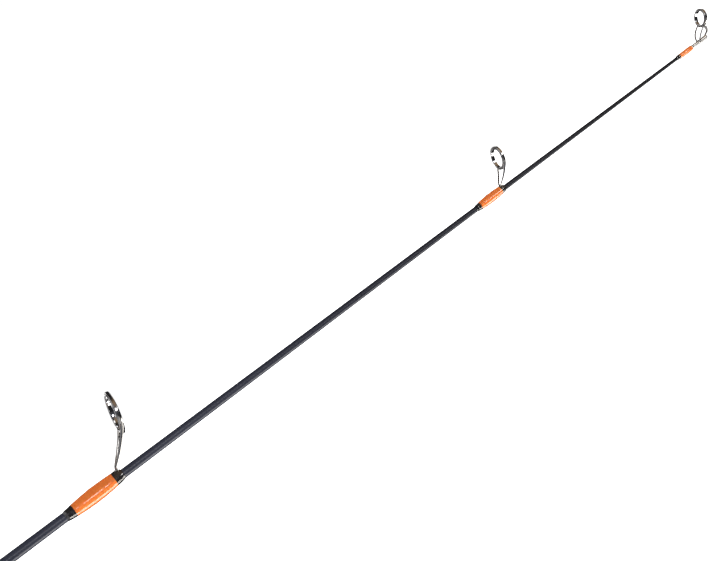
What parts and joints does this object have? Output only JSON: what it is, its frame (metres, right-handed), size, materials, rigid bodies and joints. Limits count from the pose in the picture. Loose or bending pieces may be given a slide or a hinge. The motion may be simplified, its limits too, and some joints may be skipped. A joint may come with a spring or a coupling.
{
  "type": "ice fishing rod",
  "caption": "Short one-piece spinning rod for ice fishing: tapered carbon blank, single-foot line guides on orange wraps, tip top, cork grips and a screw-down reel seat.",
  "frame": {"origin": "on the rod's axis at the middle of the rear grip", "axes": "+X along the rod towards the tip, +Z towards the guides and the reel's side"},
  "size_m": [0.6599, 0.024, 0.0365],
  "materials": {
    "blank": "satin dark slate coat over solid carbon",
    "rubber": "matte moulded rubber",
    "orange_anodised": "bright orange anodised, satin turned",
    "cork": "sanded natural cork",
    "burl_cork": "sanded cork and rubber composite",
    "seat_plastic": "fine matte, filled nylon",
    "arbor_foam": "rigid foam",
    "hood_metal": "dark anodised, satin",
    "liner_plastic": "smooth moulded",
    "check_metal": "turned, satin",
    "guide_steel": "polished stainless steel",
    "ring_chrome": "hard polished ring",
    "orange_thread": "close-wound nylon thread",
    "black_thread": "close-wound nylon thread",
    "clear_epoxy": "clear high-gloss epoxy"
  },
  "bodies": {
    "rod": {"blank": "blank", "butt_cap": "rubber", "butt_trim_ring": "orange_anodised", "rear_grip": "cork", "rear_burl_ring": "burl_cork", "rear_trim_ring": "orange_anodised", "seat_barrel": "seat_plastic", "seat_arbors": "arbor_foam", "fixed_hood": "hood_metal", "fixed_hood_liner": "liner_plastic", "fore_trim_ring": "orange_anodised", "fore_grip": "cork", "fore_burl_ring": "burl_cork", "winding_check": "check_metal", "hook_keeper": "guide_steel", "tip_tube": "guide_steel", "tip_frame": "guide_steel", "tip_ring": "ring_chrome", "stripper_guide_frame": "guide_steel", "stripper_guide_ring": "ring_chrome", "middle_guide_frame": "guide_steel", "middle_guide_ring": "ring_chrome", "stripper_wrap": "orange_thread", "stripper_epoxy": "clear_epoxy", "middle_wrap": "orange_thread", "middle_epoxy": "clear_epoxy", "tip_wrap": "orange_thread", "tip_epoxy": "clear_epoxy", "keeper_rear_wrap": "orange_thread", "keeper_rear_epoxy": "clear_epoxy", "keeper_front_wrap": "orange_thread", "keeper_front_epoxy": "clear_epoxy", "stripper_wrap_bands": "black_thread", "middle_wrap_bands": "black_thread", "tip_wrap_bands": "black_thread"},
    "hood_slide": {"sliding_hood": "hood_metal", "sliding_hood_liner": "liner_plastic", "nut_washer": "liner_plastic"},
    "nut": {"lock_nut": "hood_metal", "lock_nut_band": "orange_anodised"}
  },
  "joints": [
    {"name": "hood_travel", "type": "slide", "parent": "rod", "child": "hood_slide", "axis": [-1, 0, 0], "range_m": [0, 0.022]},
    {"name": "lock_nut_turn", "type": "hinge", "parent": "hood_slide", "child": "nut", "pos_m": [0.1375, 0, 0], "axis": [-1, 0, 0], "range_deg": [0, 3962]}
  ],
  "couplings": [
    {"joint": "lock_nut_turn", "follows": "hood_travel", "rad_per_m": 3141.6}
  ]
}
